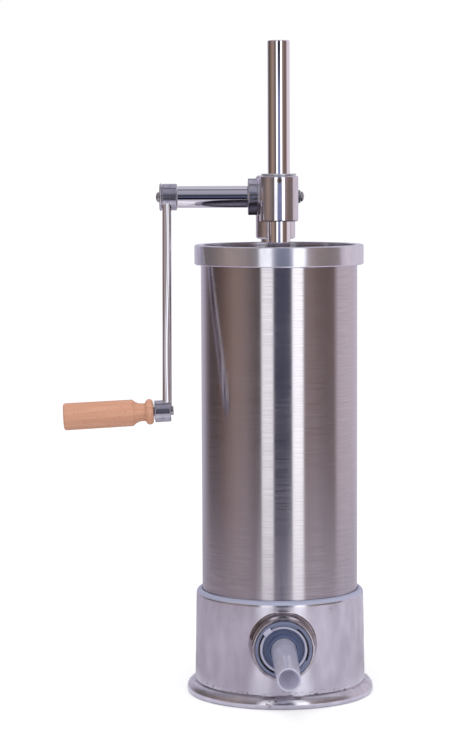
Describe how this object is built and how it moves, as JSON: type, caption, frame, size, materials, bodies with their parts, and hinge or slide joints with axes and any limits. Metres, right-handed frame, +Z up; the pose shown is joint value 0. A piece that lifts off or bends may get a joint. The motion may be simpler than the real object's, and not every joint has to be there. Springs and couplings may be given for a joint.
{
  "type": "sausage stuffer",
  "caption": "Upright hand-cranked sausage stuffer: round cast base with front outlet and filling tube, steel tank, rear column, geared head, rack rod with piston, side crank.",
  "frame": {"origin": "middle of the whole part's floor area, on the floor it stands on; the tank's axis is at X 0.0545, Y 0.0495", "axes": "+Z up; the filling tube points to -Y, the crank is on the -X side, the column is on the +Y side"},
  "size_m": [0.2802, 0.339, 0.595],
  "materials": {
    "cast_aluminium": "cast and polished, bright with soft waves",
    "brushed_steel": "stainless sheet, brushed round the tank",
    "chrome": "bright chrome plate",
    "plain_steel": "turned, bare steel",
    "brass": "turned",
    "bronze": "sintered, oiled",
    "beech": "turned beech, satin",
    "rubber": "pale food rubber",
    "blue_grey_plastic": "moulded, satin",
    "clear_plastic": "moulded, milky and translucent",
    "nylon": "moulded"
  },
  "bodies": {
    "frame": {"base_casting": "cast_aluminium", "tank_seal": "rubber", "tank_cylinder": "brushed_steel", "tank_rim": "cast_aluminium", "rear_column": "chrome", "base_set_screw": "plain_steel", "head_casting": "cast_aluminium", "head_set_screw": "plain_steel", "upper_guide_bush": "plain_steel", "lower_guide_bush": "plain_steel", "bush_set_screw": "brass", "bearing_cap": "cast_aluminium", "left_shaft_bush": "bronze", "right_shaft_bush": "bronze", "nozzle_gasket": "rubber", "outlet_lock_ring": "blue_grey_plastic"},
    "crank": {"crank_shaft": "chrome", "drive_pinion": "plain_steel", "pinion_key": "plain_steel", "shaft_end_washer": "plain_steel", "shaft_end_screw": "plain_steel", "crank_arm": "chrome", "crank_end_disc": "cast_aluminium", "crank_end_screw": "plain_steel", "grip_washer": "plain_steel", "grip_bolt": "plain_steel"},
    "grip": {"grip": "beech"},
    "rack": {"rack_rod": "chrome", "piston_plate": "cast_aluminium", "piston_gasket": "rubber", "piston_washer": "plain_steel", "piston_nut": "plain_steel", "air_valve": "nylon"},
    "nozzle": {"nozzle_holder": "blue_grey_plastic", "filling_tube": "clear_plastic"}
  },
  "joints": [
    {"name": "crank_turn", "type": "hinge", "parent": "frame", "child": "crank", "pos_m": [0.05453, 0.0678, 0.454], "axis": [1, 0, 0], "range_deg": [-1088, 515]},
    {"name": "rack_slide", "type": "slide", "parent": "frame", "child": "rack", "axis": [0, 0, -1], "range_m": [-0.228, 0.108]},
    {"name": "grip_spin", "type": "hinge", "parent": "crank", "child": "grip", "pos_m": [-0.05127, -0.0066, 0.26512], "axis": [-0.9984, -0.0205, -0.0519], "continuous": true},
    {"name": "nozzle_lock", "type": "hinge", "parent": "frame", "child": "nozzle", "pos_m": [0.05453, 0.0495, 0.057], "axis": [0, -1, 0], "range_deg": [0, 90]}
  ],
  "couplings": [
    {"joint": "rack_slide", "follows": "crank_turn", "m_per_rad": 0.012}
  ]
}
